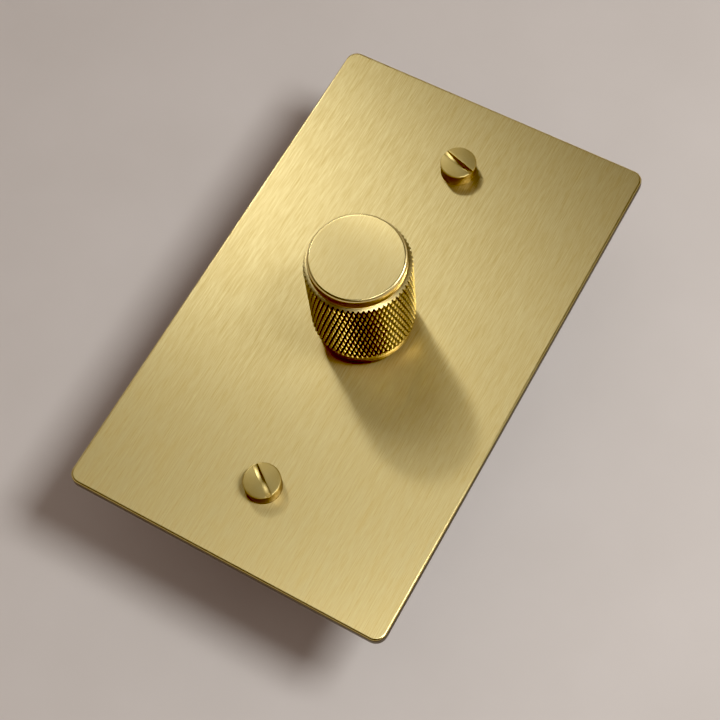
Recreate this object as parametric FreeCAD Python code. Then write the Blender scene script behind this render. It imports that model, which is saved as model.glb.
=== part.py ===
import FreeCAD, Part
import math
import os

# Rotary dimmer switch, lying on its back with its face up.
# Millimetres. Origin: centre of the module's rear face. +X right, +Y up the plate, +Z out of the face.

# Driving sizes: face plate and its fixings

plate_width = 73.0
plate_end_margin = 17.35
plate_thickness = 2.0
plate_corner_radius = 2.5
plate_edge_round = 0.5
fixing_hole_clearance = 0.35
fixing_to_housing = 5.9

screw_head_radius = 3.9
screw_head_height = 3.2
screw_head_edge = 0.3
screw_shank_radius = 1.75
screw_neck_radius = 1.4
screw_shank_length = 25.4
screw_tip_chamfer = 0.6
coin_slot_width = 1.2
coin_slot_depth = 2.2
coin_slot_cutter_radius = 5.6
coin_slot_angles = (-16.0, -37.0)

# Driving sizes: strap, gasket and rear housing

strap_thickness = 1.5
strap_body_margin = 1.0
strap_tab_width = 36.0
strap_end_margin = 9.35
strap_corner_radius = 2.5
strap_slot_extra = 2.6
gasket_inset = 2.0
gasket_strap_gap = 0.5

housing_side_room = 3.6
housing_end_room = 1.55
housing_wall = 1.8
housing_floor = 2.0
housing_corner_radius = 3.0
boss_radius = 3.4
boss_wall_overlap = 0.2
rib_width = 1.0
rib_height = 3.0
side_rib_y = 8.0
end_rib_x = 7.0

housing_screw_radius = 1.5
housing_screw_length = 25.0
housing_screw_head_radius = 2.7
housing_screw_head_height = 2.0
housing_screw_clearance = 0.15
head_recess_clearance = 0.3
cross_slot_width = 0.8
cross_slot_depth = 1.1
cross_slot_length = 3.2
head_chamfer_share = 0.33

earth_screw_radius = 2.0
earth_head_radius = 3.6
earth_head_height = 2.2
earth_washer_side = 8.0
earth_washer_thickness = 0.8
earth_place_x = -12.5
earth_washer_gap = 0.8

# Driving sizes: control bush, nut, washer and knob

bush_neck_radius = 5.0
bush_flange_radius = 8.0
bush_flange_thickness = 2.0
bush_hole_clearance = 0.15
bush_thread_over_nut = 0.8
bush_tip_chamfer = 0.4
washer_thickness = 0.8
washer_radius = 7.4
washer_tooth_count = 16
washer_tooth_depth = 0.9
nut_wall = 2.0
nut_thickness = 2.2
thread_gap = 0.02

knob_gap = 1.8
knob_height = 26.2
knob_skirt_wall = 2.166
knob_ring_step = 0.6
knob_ring_height = 2.9
knob_ring_chamfer = 0.25
knob_groove_up = 0.55
knob_groove_width = 0.3
knob_groove_depth = 0.2
knurl_depth = 0.42
knurl_count = 66
knurl_rows = 12
cap_step = 0.95
cap_height = 2.9
cap_edge_round = 0.4
knob_recess_gap = 0.6
knob_recess_over_thread = 2.0
insert_radius = 5.5
insert_length = 15.0
insert_fit = 0.02

# Driving sizes: shaft, potentiometer and push switch

shaft_radius = 3.0
shaft_flat_offset = 1.5
shaft_in_insert = 12.5
running_clearance = 0.05
push_travel = 1.0
clip_thickness = 0.6
clip_radius = 4.8
clip_groove_radius = 2.3
clip_hole_clearance = 0.4
clip_mouth_share = 0.85

pot_radius = 9.0
pot_height = 7.2
pot_wall = 0.6
pot_roof = 0.8
track_board_thickness = 1.2
track_thickness = 0.3
track_width = 2.8
track_edge_gap = 1.0
tongue_width = 14.0
tongue_length = 4.0
pot_terminal_pitch = 5.0
pot_terminal_width = 1.0
pot_terminal_thickness = 0.4
rotor_stop_gap = 0.6
rotor_thickness = 3.2
rotor_under_clip = 0.4
stop_lug_half_angle = 9.0
stop_half_angle = 18.5
stop_inward = 1.2
stop_lug_clearance = 0.4
turn_range = 300.0
stop_angle = 270.0
wiper_thickness = 0.3
wiper_width = 2.0
wiper_half_angle = 40.0
wiper_pad_half_angle = 5.0

switch_side = 15.0
switch_height = 7.0
switch_wall = 1.0
switch_roof = 0.8
switch_base_thickness = 1.0
switch_base_gap = 0.1
plunger_radius = 3.0
plunger_hole_clearance = 0.3
plunger_stand_out = 0.3
plunger_collar_radius = 4.5
plunger_collar_thickness = 1.2
plunger_bore_radius = 2.1
bridge_end_gap = 0.5
bridge_width = 6.0
bridge_thickness = 0.4
contact_height = 0.6
contact_radius = 1.1
contact_from_bridge_end = 1.2
spring_radius = 1.6
spring_wire = 0.35
spring_turns = 5
spring_steps_per_turn = 14
plunger_bore_roof = 1.9

# Driving sizes: circuit board and what is soldered to it

board_thickness = 1.6
board_edge_gap = 0.4
sheet_thickness = 0.4
lead_side = 0.6
lead_hole_clearance = 0.1
lead_end_above_board_back = 0.3

core_outer_radius = 9.2
core_inner_radius = 4.8
core_height = 7.0
core_lift = 1.2
core_to_pot_gap = 1.55
winding_turns = 18
winding_wire = 0.8
winding_gap = 0.05

triac_width = 10.0
triac_body_length = 9.2
triac_tab_end = 3.15
triac_head_gap = 0.45
triac_body_thickness = 4.4
triac_tab_thickness = 1.3
triac_pad_thickness = 0.3
triac_pad_margin = 1.0
triac_leg_pitch = 2.54
triac_leg_side = 0.8
triac_leg_out = 3.0
triac_place_x = -7.5
triac_leg_from_board_end = 1.6
triac_hole_radius = 1.8
triac_screw_radius = 1.5

capacitor_size = (13.0, 6.0, 11.0)
capacitor_place_x = 9.5
capacitor_to_tongue_gap = 1.5
capacitor_lead_pitch = 10.0
capacitor_edge_round = 0.6

axial_lift = 0.4
resistor_radius = 1.2
resistor_length = 6.4
resistor_pitch = 10.0
resistor_to_pot_gap = 2.8
resistor_row_pitch = 3.4
resistor_row_y = -3.0
diac_radius = 0.95
diac_length = 4.2
diac_pitch = 7.6
diac_to_pot_gap = 3.05
diac_place_y = 8.0
fuse_radius = 2.0
fuse_length = 10.0
fuse_pitch = 14.0
fuse_to_pot_gap = 4.6
fuse_place_y = -3.5

# Driving sizes: terminal block

pole_pitch = 8.0
pole_count = 3
block_end_wall = 0.5
block_depth = 10.5
block_back_wall = 1.0
block_recess = 0.3
notch_clearance = 0.2
entry_size = 4.8
cage_inner = 4.6
cage_wall = 0.8
cage_screw_wall = 1.2
cage_length = 6.5
cage_clearance = 0.1
cage_set_back = 2.0
cage_roof_cover = 0.5
terminal_screw_radius = 1.5
terminal_screw_head_radius = 2.2
terminal_screw_head_height = 1.2
terminal_head_recess = 0.2
terminal_head_to_cage = 0.2
terminal_slot_width = 0.7
terminal_slot_depth = 0.7

# Levels along Z that follow from the sizes, from the rear face up

terminal_head_bottom_z = block_recess + terminal_head_recess
terminal_head_top_z = terminal_head_bottom_z + terminal_screw_head_height
cage_bottom_z = terminal_head_top_z + terminal_head_to_cage
cage_mid_z = cage_bottom_z + cage_screw_wall + cage_inner / 2
cage_top_z = cage_mid_z + cage_inner / 2 + cage_wall
board_bottom_z = cage_top_z + cage_roof_cover
board_top_z = board_bottom_z + board_thickness
lead_end_z = board_bottom_z + lead_end_above_board_back

switch_floor_z = board_top_z + switch_base_thickness
switch_top_z = board_top_z + switch_height
switch_roof_z = switch_top_z - switch_roof
contact_top_z = switch_floor_z + contact_height
bridge_bottom_z = contact_top_z + push_travel
bridge_top_z = bridge_bottom_z + bridge_thickness
shaft_bottom_z = switch_top_z + plunger_stand_out
spring_top_z = shaft_bottom_z - plunger_bore_roof

track_board_bottom_z = switch_top_z
pot_bottom_z = track_board_bottom_z + track_board_thickness
track_top_z = pot_bottom_z + track_thickness
pot_top_z = pot_bottom_z + pot_height
clip_bottom_z = pot_top_z - clip_thickness
rotor_top_z = clip_bottom_z - push_travel - rotor_under_clip
rotor_bottom_z = rotor_top_z - rotor_thickness

bush_back_z = pot_top_z
wall_z = bush_back_z + bush_flange_thickness
plate_back_z = wall_z + strap_thickness
face_z = plate_back_z + plate_thickness
washer_top_z = face_z + washer_thickness
nut_top_z = washer_top_z + nut_thickness
bush_top_z = nut_top_z + bush_thread_over_nut

knob_bottom_z = face_z + knob_gap
knob_top_z = knob_bottom_z + knob_height
knurl_bottom_z = knob_bottom_z + knob_ring_height
knurl_top_z = knob_top_z - cap_height
recess_top_z = bush_top_z + knob_recess_over_thread
insert_top_z = recess_top_z + insert_length
shaft_top_z = recess_top_z + shaft_in_insert

# Radii and angles that follow from the sizes

nut_corner_radius = (bush_neck_radius + nut_wall) / math.cos(math.radians(30))
knob_recess_radius = nut_corner_radius + knob_recess_gap
knurl_peak_radius = knob_recess_radius + knob_skirt_wall
knurl_valley_radius = knurl_peak_radius - knurl_depth
knob_ring_radius = knurl_peak_radius - knob_ring_step
cap_radius = knurl_peak_radius - cap_step
rotor_radius = pot_radius - pot_wall - stop_inward - rotor_stop_gap
track_outer_radius = pot_radius - pot_wall - track_edge_gap
track_inner_radius = track_outer_radius - track_width
dead_angle = 360.0 - turn_range

# Lengths and widths that follow from what the housing holds. The fixing screws stand clear of the
# housing, 83.3 mm apart, which is the spacing of a single wall box.

winding_reach = core_outer_radius + winding_gap + winding_wire
core_place_y = pot_radius + core_to_pot_gap + winding_reach
resistor_x = pot_radius + resistor_to_pot_gap + resistor_radius
resistor_outer_x = resistor_x + resistor_row_pitch
housing_inner_width = 2 * (resistor_outer_x + resistor_radius + housing_side_room)
housing_inner_length = 2 * (core_place_y + winding_reach + housing_end_room)
housing_width = housing_inner_width + 2 * housing_wall
housing_length = housing_inner_length + 2 * housing_wall
fixing_spacing = housing_length + 2 * (fixing_to_housing + screw_shank_radius)
plate_length = fixing_spacing + 2 * plate_end_margin
strap_length = fixing_spacing + 2 * strap_end_margin
board_width = housing_inner_width - 2 * board_edge_gap
board_length = housing_inner_length - 2 * board_edge_gap

# Places that follow from the sizes

fixing_places = ((0.0, fixing_spacing / 2), (0.0, -fixing_spacing / 2))
boss_x = housing_inner_width / 2 - boss_radius + boss_wall_overlap
boss_y = housing_inner_length / 2 - boss_radius + boss_wall_overlap
boss_places = [(sx * boss_x, sy * boss_y) for sx in (-1, 1) for sy in (-1, 1)]
earth_place = (earth_place_x, housing_length / 2 + earth_washer_gap + earth_washer_side / 2)

triac_leg_y = -board_length / 2 + triac_leg_from_board_end
triac_body_y = triac_leg_y + triac_leg_out + triac_body_length / 2
triac_hole_from_body = housing_screw_head_radius + triac_head_gap
triac_hole_place = (triac_place_x, triac_body_y + triac_body_length / 2 + triac_hole_from_body)
triac_tab_length = triac_hole_from_body + triac_tab_end
capacitor_y = -(pot_radius + tongue_length + capacitor_to_tongue_gap + capacitor_size[1] / 2)
capacitor_place = (capacitor_place_x, capacitor_y)
resistor_places = ((resistor_x, resistor_row_y), (resistor_outer_x, resistor_row_y),
                   (resistor_x, resistor_row_y + resistor_pitch + resistor_radius))
diac_place = (-(pot_radius + diac_to_pot_gap + diac_radius), diac_place_y)
fuse_place = (-(pot_radius + fuse_to_pot_gap + fuse_radius), fuse_place_y)

block_half_width = pole_pitch * pole_count / 2 + block_end_wall
block_front_y = -housing_length / 2
block_back_y = block_front_y + block_depth
pole_places = [pole_pitch * (i - (pole_count - 1) / 2) for i in range(pole_count)]
cage_front_y = block_front_y + cage_set_back
cage_mid_y = cage_front_y + cage_length / 2

pot_pin_y = -(pot_radius + tongue_length / 2)
pot_pin_places = [(pot_terminal_pitch * (i - 1), pot_pin_y) for i in range(3)]
switch_inside = switch_side - 2 * switch_wall
bridge_length = switch_inside - 2 * bridge_end_gap
contact_x = bridge_length / 2 - contact_from_bridge_end
contact_places = [(-contact_x, 0.0), (contact_x, 0.0)]


# Shape helpers

def vec(x, y, z):
    return FreeCAD.Vector(x, y, z)


def cylinder(radius, z0, z1, x=0.0, y=0.0):
    return Part.makeCylinder(radius, z1 - z0, vec(x, y, z0))


def tube(outer, inner, z0, z1, x=0.0, y=0.0):
    return cylinder(outer, z0, z1, x, y).cut(cylinder(inner, z0 - 1, z1 + 1, x, y))


def block(x0, x1, y0, y1, z0, z1):
    return Part.makeBox(x1 - x0, y1 - y0, z1 - z0, vec(x0, y0, z0))


def centred_block(x, y, width, length, z0, z1):
    return block(x - width / 2, x + width / 2, y - length / 2, y + length / 2, z0, z1)


def rounded_slab(width, length, radius, z0, z1):
    slab = centred_block(0.0, 0.0, width, length, z0, z1)
    upright = [e for e in slab.Edges if abs(e.Vertexes[0].Z - e.Vertexes[1].Z) > (z1 - z0) / 2]
    return slab.makeFillet(radius, upright)


def edges_at(shape, z):
    found = []
    for edge in shape.Edges:
        box = edge.BoundBox
        if abs(box.ZMin - z) < 1e-6 and abs(box.ZMax - z) < 1e-6:
            found.append(edge)
    return found


def d_bar(radius, flat_offset, z0, z1):
    bar = cylinder(radius, z0, z1)
    return bar.cut(block(-2 * radius, 2 * radius, flat_offset, 2 * radius, z0 - 1, z1 + 1))


def sector(inner, outer, mid_angle, half_angle, z0, z1):
    profile = Part.makePolygon([vec(inner, 0, z0), vec(outer, 0, z0), vec(outer, 0, z1),
                                vec(inner, 0, z1), vec(inner, 0, z0)])
    solid = Part.Face(profile).revolve(vec(0, 0, 0), vec(0, 0, 1), 2 * half_angle)
    solid.rotate(vec(0, 0, 0), vec(0, 0, 1), mid_angle - half_angle)
    return solid


def joined(shapes):
    return shapes[0].multiFuse(shapes[1:]).removeSplitter()


def group(shapes):
    return Part.makeCompound(shapes)


def sewn_solid(faces):
    shell = Part.makeShell(faces)
    shell.sewShape()
    solid = Part.makeSolid(Part.makeShell(shell.Faces))
    if solid.Volume < 0:
        solid.reverse()
    return solid


def lead_pin(x, y, z0, z1):
    return centred_block(x, y, lead_side, lead_side, z0, z1)


def lead_hole(x, y, z0, z1):
    side = lead_side + 2 * lead_hole_clearance
    return centred_block(x, y, side, side, z0, z1)


def strap_outline(grow, z0, z1):
    """The strap's outline: a wide middle over the module and a narrower tab at each end."""
    body_width = housing_width + 2 * strap_body_margin + 2 * grow
    body_length = housing_length + 2 * strap_body_margin + 2 * grow
    radius = strap_corner_radius
    middle = rounded_slab(body_width, body_length, radius, z0, z1)
    tabs = rounded_slab(strap_tab_width + 2 * grow, strap_length + 2 * grow, radius, z0, z1)
    return joined([middle, tabs])


# Face plate, screws, strap and gasket

def face_plate():
    plate = rounded_slab(plate_width, plate_length, plate_corner_radius, plate_back_z, face_z)
    plate = plate.makeFillet(plate_edge_round, edges_at(plate, face_z))
    for x, y in fixing_places:
        hole_radius = screw_shank_radius + fixing_hole_clearance
        plate = plate.cut(cylinder(hole_radius, plate_back_z - 1, face_z + 1, x, y))
    hole_radius = bush_neck_radius + bush_hole_clearance
    return plate.cut(cylinder(hole_radius, plate_back_z - 1, face_z + 1))


def fixing_screw(place, slot_angle):
    """Cheese head with a coin slot, whose floor is the arc that the slitting cutter leaves.

    A thinner neck passes the plate and strap; the full size starts at the wall.
    """
    top_z = face_z + screw_head_height
    head = cylinder(screw_head_radius, face_z, top_z)
    head = head.makeFillet(screw_head_edge, edges_at(head, top_z))
    cutter = Part.makeCylinder(coin_slot_cutter_radius, coin_slot_width,
                               vec(0, -coin_slot_width / 2, top_z - coin_slot_depth
                                   + coin_slot_cutter_radius), vec(0, 1, 0))
    head = head.cut(cutter)
    tip_z = face_z - screw_shank_length
    thread = cylinder(screw_shank_radius, tip_z, wall_z)
    thread = thread.makeChamfer(screw_tip_chamfer, edges_at(thread, tip_z))
    neck = cylinder(screw_neck_radius, wall_z, face_z)
    screw = joined([head, neck, thread])
    screw.rotate(vec(0, 0, 0), vec(0, 0, 1), slot_angle)
    screw.translate(vec(place[0], place[1], 0))
    return screw


def fixing_screws():
    return group([fixing_screw(p, a) for p, a in zip(fixing_places, coin_slot_angles)])


def wall_gasket():
    width = plate_width - 2 * gasket_inset
    length = plate_length - 2 * gasket_inset
    frame = rounded_slab(width, length, plate_corner_radius, wall_z, plate_back_z)
    return frame.cut(strap_outline(gasket_strap_gap, wall_z - 1, plate_back_z + 1))


def mounting_strap():
    strap = strap_outline(0.0, wall_z, plate_back_z)
    low = wall_z - 1
    high = plate_back_z + 1
    holes = [cylinder(bush_neck_radius + bush_hole_clearance, low, high)]
    slot_radius = screw_shank_radius + fixing_hole_clearance
    for x, y in fixing_places:
        for side in (-1, 1):
            holes.append(cylinder(slot_radius, low, high, x + side * strap_slot_extra / 2, y))
        holes.append(centred_block(x, y, strap_slot_extra, 2 * slot_radius, low, high))
    for x, y in boss_places:
        holes.append(cylinder(housing_screw_radius + thread_gap, low, high, x, y))
    holes.append(cylinder(triac_screw_radius + thread_gap, low, high, *triac_hole_place))
    holes.append(cylinder(earth_screw_radius + thread_gap, low, high, *earth_place))
    for hole in holes:
        strap = strap.cut(hole)
    return strap


def pan_head_screw(radius, head_radius, head_height, seat_z, length, place):
    """A screw driven from behind: its head hangs below seat_z and its shank rises from it."""
    head = cylinder(head_radius, seat_z - head_height, seat_z)
    low = seat_z - head_height
    head = head.makeChamfer(head_chamfer_share * head_height, edges_at(head, low))
    for width, across in ((cross_slot_length, cross_slot_width), (cross_slot_width, cross_slot_length)):
        head = head.cut(centred_block(0, 0, width, across, low - 1, low + cross_slot_depth))
    screw = joined([head, cylinder(radius, seat_z, seat_z + length)])
    screw.translate(vec(place[0], place[1], 0))
    return screw


def earth_screw():
    seat_z = wall_z - earth_washer_thickness
    length = strap_thickness + earth_washer_thickness
    return pan_head_screw(earth_screw_radius, earth_head_radius, earth_head_height,
                          seat_z, length, earth_place)


def earth_washer():
    x, y = earth_place
    low = wall_z - earth_washer_thickness
    plate = centred_block(x, y, earth_washer_side, earth_washer_side, low, wall_z)
    hole_radius = earth_screw_radius + housing_screw_clearance
    return plate.cut(cylinder(hole_radius, low - 1, wall_z + 1, x, y))


# Rear housing

def housing_screw_seat_z():
    return plate_back_z - housing_screw_length


def rear_housing():
    shell = rounded_slab(housing_width, housing_length, housing_corner_radius, 0.0, wall_z)
    inner_radius = housing_corner_radius - housing_wall
    cavity = rounded_slab(housing_inner_width, housing_inner_length, inner_radius,
                          housing_floor, wall_z + 1)
    shell = shell.cut(cavity)
    added = [cylinder(boss_radius, housing_floor / 2, wall_z, x, y) for x, y in boss_places]
    rest_z = board_bottom_z - sheet_thickness
    inner_half_width = housing_inner_width / 2
    inner_half_length = housing_inner_length / 2
    for side in (-1, 1):
        edge = side * inner_half_width
        inner = edge - side * rib_height
        for y in (-side_rib_y, side_rib_y):
            added.append(block(min(edge, inner), max(edge, inner), y - rib_width / 2,
                               y + rib_width / 2, housing_floor / 2, rest_z))
    for x in (-end_rib_x, end_rib_x):
        added.append(block(x - rib_width / 2, x + rib_width / 2, inner_half_length - rib_height,
                           inner_half_length + housing_wall / 2, housing_floor / 2, rest_z))
    shell = joined([shell] + added)
    half_width = block_half_width + notch_clearance
    shell = shell.cut(block(-half_width, half_width, block_front_y - 1, block_back_y + notch_clearance,
                            -1, board_bottom_z))
    seat_z = housing_screw_seat_z()
    hole_radius = housing_screw_radius + housing_screw_clearance
    recess_radius = housing_screw_head_radius + head_recess_clearance
    for x, y in boss_places:
        shell = shell.cut(cylinder(hole_radius, -1, wall_z + 1, x, y))
        shell = shell.cut(cylinder(recess_radius, -1, seat_z, x, y))
    return shell


def housing_screws():
    return group([pan_head_screw(housing_screw_radius, housing_screw_head_radius,
                                 housing_screw_head_height, housing_screw_seat_z(),
                                 housing_screw_length, place) for place in boss_places])


# Control bush, washer and nut

def control_bush():
    neck = cylinder(bush_neck_radius, wall_z - bush_flange_thickness / 2, bush_top_z)
    neck = neck.makeChamfer(bush_tip_chamfer, edges_at(neck, bush_top_z))
    bush = joined([cylinder(bush_flange_radius, bush_back_z, wall_z), neck])
    return bush.cut(cylinder(shaft_radius + running_clearance, bush_back_z - 1, bush_top_z + 1))


def lock_washer():
    washer = tube(washer_radius, bush_neck_radius + bush_hole_clearance, face_z, washer_top_z)
    step = 360.0 / washer_tooth_count
    for i in range(washer_tooth_count):
        gap = sector(washer_radius - washer_tooth_depth, washer_radius + 1, i * step, step / 4,
                     face_z - 1, washer_top_z + 1)
        washer = washer.cut(gap)
    return washer


def bush_nut():
    corner = nut_corner_radius
    points = []
    for i in range(7):
        angle = math.radians(60 * i)
        points.append(vec(corner * math.cos(angle), corner * math.sin(angle), washer_top_z))
    prism = Part.Face(Part.makePolygon(points)).extrude(vec(0, 0, nut_thickness))
    flat = bush_neck_radius + nut_wall
    chamfer_height = (corner - flat) * math.tan(math.radians(30))
    rim = Part.makeCone(corner, flat, chamfer_height,
                        vec(0, 0, nut_top_z - chamfer_height))
    rim = joined([rim, cylinder(corner, washer_top_z, nut_top_z - chamfer_height)])
    nut = prism.common(rim)
    return nut.cut(cylinder(bush_neck_radius + thread_gap, washer_top_z - 1, nut_top_z + 1))


# Knob: a turned profile whose middle band carries a diamond knurl

def knurl_point(radius, step, level):
    """A point of the knurl: step counts diamonds round the knob, level counts rows up it."""
    angle = 2 * math.pi * step / knurl_count
    row_height = (knurl_top_z - knurl_bottom_z) / knurl_rows
    return vec(radius * math.cos(angle), radius * math.sin(angle), knurl_bottom_z + level * row_height)


def triangle(a, b, c):
    return Part.Face(Part.makePolygon([a, b, c, a]))


def knurl_faces():
    """Two sets of crossed grooves leave one four-sided point at each diamond."""
    faces = []
    for level in range(knurl_rows + 1):
        shift = 0.5 * ((level + 1) % 2)
        for i in range(knurl_count):
            step = i + shift
            peak = knurl_point(knurl_peak_radius, step, level)
            left = knurl_point(knurl_valley_radius, step - 0.5, level)
            right = knurl_point(knurl_valley_radius, step + 0.5, level)
            if level < knurl_rows:
                above = knurl_point(knurl_valley_radius, step, level + 1)
                faces.append(triangle(peak, right, above))
                faces.append(triangle(peak, above, left))
            if level > 0:
                below = knurl_point(knurl_valley_radius, step, level - 1)
                faces.append(triangle(peak, left, below))
                faces.append(triangle(peak, below, right))
    return faces


def knurl_end(level, inner_radius):
    """The flat ledge from the knurl's toothed rim in to the plain turned part."""
    shift = 0.5 * ((level + 1) % 2)
    points = []
    for i in range(knurl_count):
        points.append(knurl_point(knurl_valley_radius, i + shift - 0.5, level))
        points.append(knurl_point(knurl_peak_radius, i + shift, level))
    points.append(points[0])
    z = points[0].z
    rim = Part.makePolygon(points)
    circle = Part.Wire(Part.makeCircle(inner_radius, vec(0, 0, z)))
    return Part.makeFace([rim, circle], "Part::FaceMakerBullseye")


def arc_through(a, b, c):
    return Part.Arc(a, b, c).toShape()


def knob_turned_shell():
    """Everything on the knob that is turned: ring, underside, recess, bore, cap and its edge."""
    groove_low = knob_bottom_z + knob_groove_up
    groove_high = groove_low + knob_groove_width
    groove_radius = knob_ring_radius - knob_groove_depth
    bore_radius = insert_radius + insert_fit
    corners = [
        (knob_ring_radius, knurl_bottom_z),
        (knob_ring_radius, groove_high),
        (groove_radius, groove_high),
        (groove_radius, groove_low),
        (knob_ring_radius, groove_low),
        (knob_ring_radius, knob_bottom_z + knob_ring_chamfer),
        (knob_ring_radius - knob_ring_chamfer, knob_bottom_z),
        (knob_recess_radius, knob_bottom_z),
        (knob_recess_radius, recess_top_z),
        (bore_radius, recess_top_z),
        (bore_radius, insert_top_z),
        (0.0, insert_top_z),
    ]
    points = [vec(r, 0, z) for r, z in corners]
    edges = [Part.makeLine(a, b) for a, b in zip(points, points[1:])]
    flat_radius = cap_radius - cap_edge_round
    bend = cap_edge_round * (1 - math.sqrt(0.5))
    wall_top = vec(cap_radius, 0, knob_top_z - cap_edge_round)
    disc_rim = vec(flat_radius, 0, knob_top_z)
    edges.append(Part.makeLine(vec(cap_radius, 0, knurl_top_z), wall_top))
    edges.append(arc_through(wall_top, vec(cap_radius - bend, 0, knob_top_z - bend), disc_rim))
    edges.append(Part.makeLine(disc_rim, vec(0, 0, knob_top_z)))
    return [e.revolve(vec(0, 0, 0), vec(0, 0, 1), 360) for e in edges]


def knob():
    faces = knurl_faces()
    faces.append(knurl_end(0, knob_ring_radius))
    faces.append(knurl_end(knurl_rows, cap_radius))
    for turned in knob_turned_shell():
        faces.extend(turned.Faces)
    return sewn_solid(faces)


def knob_insert():
    sleeve = cylinder(insert_radius, recess_top_z, insert_top_z)
    end_z = shaft_top_z + thread_gap
    bore = d_bar(shaft_radius + insert_fit, shaft_flat_offset + insert_fit, recess_top_z - 1, end_z)
    return sleeve.cut(bore)


def shaft():
    bar = cylinder(shaft_radius, shaft_bottom_z, shaft_top_z)
    for low, high in ((shaft_bottom_z - 1, clip_bottom_z), (recess_top_z, shaft_top_z + 1)):
        bar = bar.cut(block(-2 * shaft_radius, 2 * shaft_radius, shaft_flat_offset,
                            2 * shaft_radius, low, high))
    groove = tube(shaft_radius + 1, clip_groove_radius, clip_bottom_z, bush_back_z)
    return bar.cut(groove)


def shaft_clip():
    inner = clip_groove_radius + thread_gap
    clip = tube(clip_radius, inner, clip_bottom_z, bush_back_z)
    mouth_width = clip_mouth_share * 2 * inner
    mouth = centred_block(0, -clip_radius, mouth_width, 2 * clip_radius,
                          clip_bottom_z - 1, bush_back_z + 1)
    return clip.cut(mouth)


# Potentiometer

def pot_case():
    case = cylinder(pot_radius, pot_bottom_z, pot_top_z)
    case = case.cut(cylinder(pot_radius - pot_wall, pot_bottom_z - 1, pot_top_z - pot_roof))
    case = case.cut(cylinder(clip_radius + clip_hole_clearance, pot_bottom_z, pot_top_z + 1))
    inner = pot_radius - pot_wall - stop_inward
    stop = sector(inner, pot_radius - pot_wall / 2, stop_angle, stop_half_angle,
                  rotor_bottom_z, pot_top_z - pot_roof / 2)
    return joined([case, stop])


def track_board():
    disc = cylinder(pot_radius, track_board_bottom_z, pot_bottom_z)
    tongue = block(-tongue_width / 2, tongue_width / 2, -pot_radius - tongue_length, 0.0,
                   track_board_bottom_z, pot_bottom_z)
    board = joined([disc, tongue])
    hole_radius = shaft_radius + clip_hole_clearance
    board = board.cut(cylinder(hole_radius, track_board_bottom_z - 1, pot_bottom_z + 1))
    gap = lead_hole_clearance
    for x, y in pot_pin_places:
        board = board.cut(centred_block(x, y, pot_terminal_width + gap, pot_terminal_thickness + gap,
                                        track_board_bottom_z - 1, pot_bottom_z + 1))
    return board


def resistive_track():
    ring = tube(track_outer_radius, track_inner_radius, pot_bottom_z, track_top_z)
    half_gap = dead_angle / 4
    return ring.cut(sector(track_inner_radius - 1, track_outer_radius + 1, stop_angle, half_gap,
                           pot_bottom_z - 1, track_top_z + 1))


def track_terminals():
    pins = []
    for x, y in pot_pin_places:
        pin = centred_block(x, y, pot_terminal_width, pot_terminal_thickness, lead_end_z, pot_bottom_z)
        head = centred_block(x, y, 2 * pot_terminal_width, 3 * pot_terminal_thickness,
                             pot_bottom_z, pot_bottom_z + pot_terminal_thickness)
        pins.append(joined([pin, head]))
    return group(pins)


def rest_angle():
    """The lug rests beside the stop, at the low end of the turn."""
    return stop_angle - dead_angle / 2


def rotor():
    body = cylinder(rotor_radius, rotor_bottom_z, rotor_top_z)
    lug_radius = pot_radius - pot_wall - stop_lug_clearance
    lug = sector(rotor_radius - 1, lug_radius, rest_angle(), stop_lug_half_angle,
                 rotor_bottom_z, rotor_top_z)
    body = joined([body, lug])
    clearance = running_clearance
    return body.cut(d_bar(shaft_radius + clearance, shaft_flat_offset + clearance,
                          rotor_bottom_z - 1, rotor_top_z + 1))


def wiper():
    """A leaf under the rotor, cranked down to two flat pads on the track."""
    mid_radius = (track_inner_radius + track_outer_radius) / 2
    inner = mid_radius - wiper_width / 2
    outer = mid_radius + wiper_width / 2
    leaf = sector(inner, outer, rest_angle(), wiper_half_angle,
                  rotor_bottom_z - wiper_thickness, rotor_bottom_z)
    pads = []
    for side in (-1, 1):
        angle = rest_angle() + side * (wiper_half_angle - wiper_pad_half_angle)
        pads.append(sector(inner, outer, angle, wiper_pad_half_angle, track_top_z, rotor_bottom_z))
    return joined([leaf] + pads)


# Push switch under the potentiometer

def switch_case():
    case = centred_block(0, 0, switch_side, switch_side, board_top_z, switch_top_z)
    case = case.cut(centred_block(0, 0, switch_inside, switch_inside, board_top_z - 1, switch_roof_z))
    return case.cut(cylinder(plunger_radius + plunger_hole_clearance, switch_roof_z - 1, switch_top_z + 1))


def switch_base():
    side = switch_inside - 2 * switch_base_gap
    base = centred_block(0, 0, side, side, board_top_z, switch_floor_z)
    for x, y in contact_places:
        base = base.cut(lead_hole(x, y, board_top_z - 1, switch_floor_z + 1))
    return base


def fixed_contacts():
    contacts = []
    for x, y in contact_places:
        button = cylinder(contact_radius, switch_floor_z, contact_top_z, x, y)
        contacts.append(joined([button, lead_pin(x, y, lead_end_z, switch_floor_z)]))
    return group(contacts)


def plunger():
    stem = cylinder(plunger_radius, bridge_top_z, shaft_bottom_z)
    collar = cylinder(plunger_collar_radius, switch_roof_z - plunger_collar_thickness, switch_roof_z)
    body = joined([stem, collar])
    return body.cut(cylinder(plunger_bore_radius, bridge_top_z - 1, spring_top_z))


def contact_bridge():
    strip = centred_block(0, 0, bridge_length, bridge_width, bridge_bottom_z, bridge_top_z)
    return strip.cut(cylinder(plunger_bore_radius, bridge_bottom_z - 1, bridge_top_z + 1))


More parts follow.
